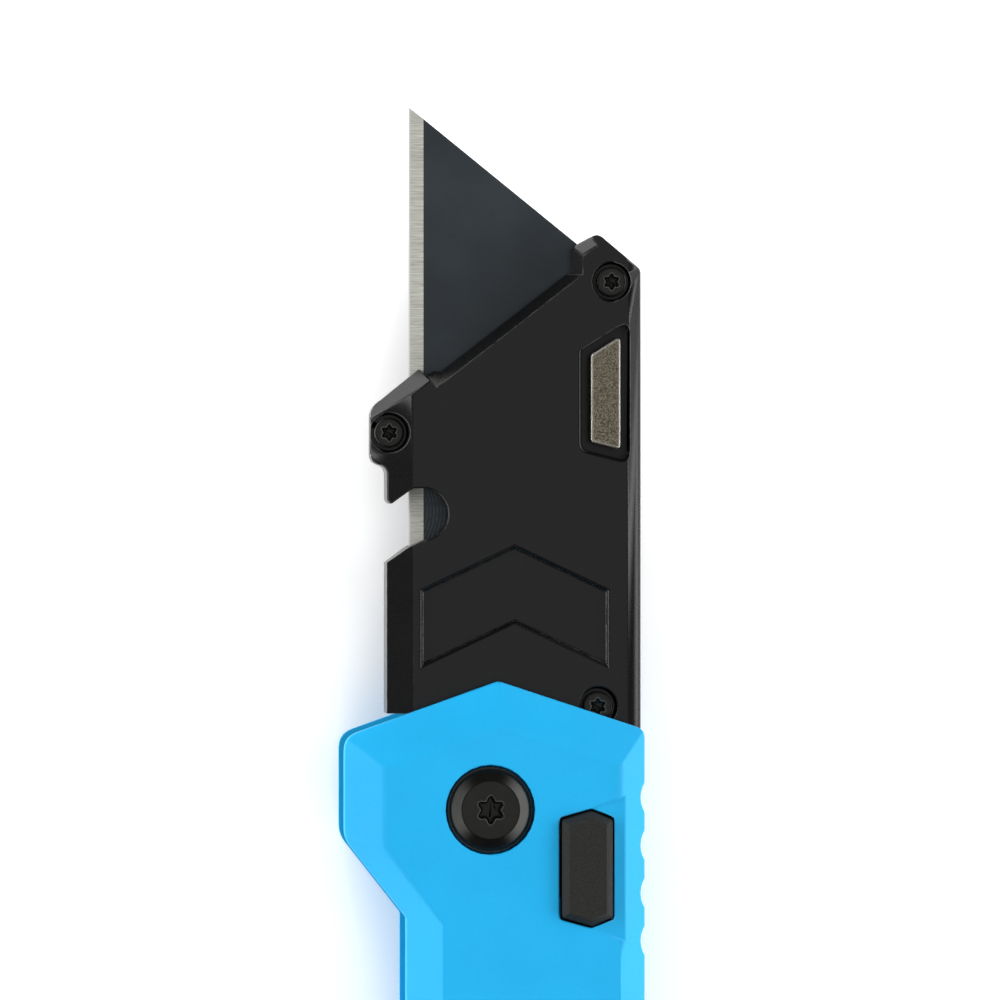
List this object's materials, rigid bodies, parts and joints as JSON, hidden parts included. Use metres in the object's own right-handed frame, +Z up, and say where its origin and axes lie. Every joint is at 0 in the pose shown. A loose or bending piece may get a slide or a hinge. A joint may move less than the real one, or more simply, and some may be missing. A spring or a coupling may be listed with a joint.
{
  "type": "folding utility knife",
  "caption": "Folding utility knife with a blue two-scale handle, black blade carrier with strap cutter, lock button, blade release and belt clip.",
  "frame": {"origin": "middle of the bottom of the bounding box, under the belt clip", "axes": "+Y from the butt to the blade's tip, +Z up out of the front scale, blade edge facing -X; the knife is open and lies on its back"},
  "size_m": [0.0302, 0.1584, 0.019],
  "materials": {
    "blue_paint": "matte sky-blue powder paint",
    "black_coat": "satin black coating",
    "black_steel": "black oxide",
    "blade_steel": "dark steel with a bright ground edge",
    "nickel": "grainy nickel",
    "spring_steel": "plain spring steel",
    "button_plastic": "fine spark-eroded texture",
    "bronze": "plain bronze"
  },
  "bodies": {
    "handle": {"front_scale": "blue_paint", "back_scale": "blue_paint", "spine_spacer": "black_steel", "pivot_screw": "black_steel", "pivot_nut": "black_steel", "front_washer": "bronze", "back_washer": "bronze", "handle_screw_1": "black_steel", "handle_screw_2": "black_steel", "handle_screw_3": "black_steel", "lock_spring": "spring_steel", "lock_spring_screw": "black_steel", "belt_clip": "black_steel", "clip_screw_1": "black_steel", "clip_screw_2": "black_steel"},
    "carrier": {"carrier_front": "black_coat", "carrier_back": "black_coat", "carrier_screw_ear": "black_steel", "carrier_screw_hook": "black_steel", "carrier_screw_tang": "black_steel", "catch_spring": "spring_steel", "catch_spring_screw": "black_steel"},
    "blade": {"blade": "blade_steel"},
    "lock_button": {"lock_button": "button_plastic"},
    "release_button": {"release_button": "nickel"}
  },
  "joints": [
    {"name": "fold", "type": "hinge", "parent": "handle", "child": "carrier", "pos_m": [-0.00062, 0.00847, 0.0106], "axis": [0, 0, 1], "range_deg": [0, 180], "deforming": ["lock_spring"]},
    {"name": "lock_press", "type": "slide", "parent": "handle", "child": "lock_button", "axis": [0, 0, -1], "range_m": [0, 0.0017], "stiffness_N_per_m": 800, "springref_m": -0.0025, "deforming": ["lock_spring"]},
    {"name": "release_press", "type": "slide", "parent": "carrier", "child": "release_button", "axis": [0, 0, -1], "range_m": [0, 0.001], "stiffness_N_per_m": 1000, "springref_m": -0.002, "deforming": ["catch_spring"]},
    {"name": "blade_slide", "type": "slide", "parent": "carrier", "child": "blade", "axis": [0, 1, 0], "range_m": [0, 0.045], "deforming": ["catch_spring"]}
  ]
}
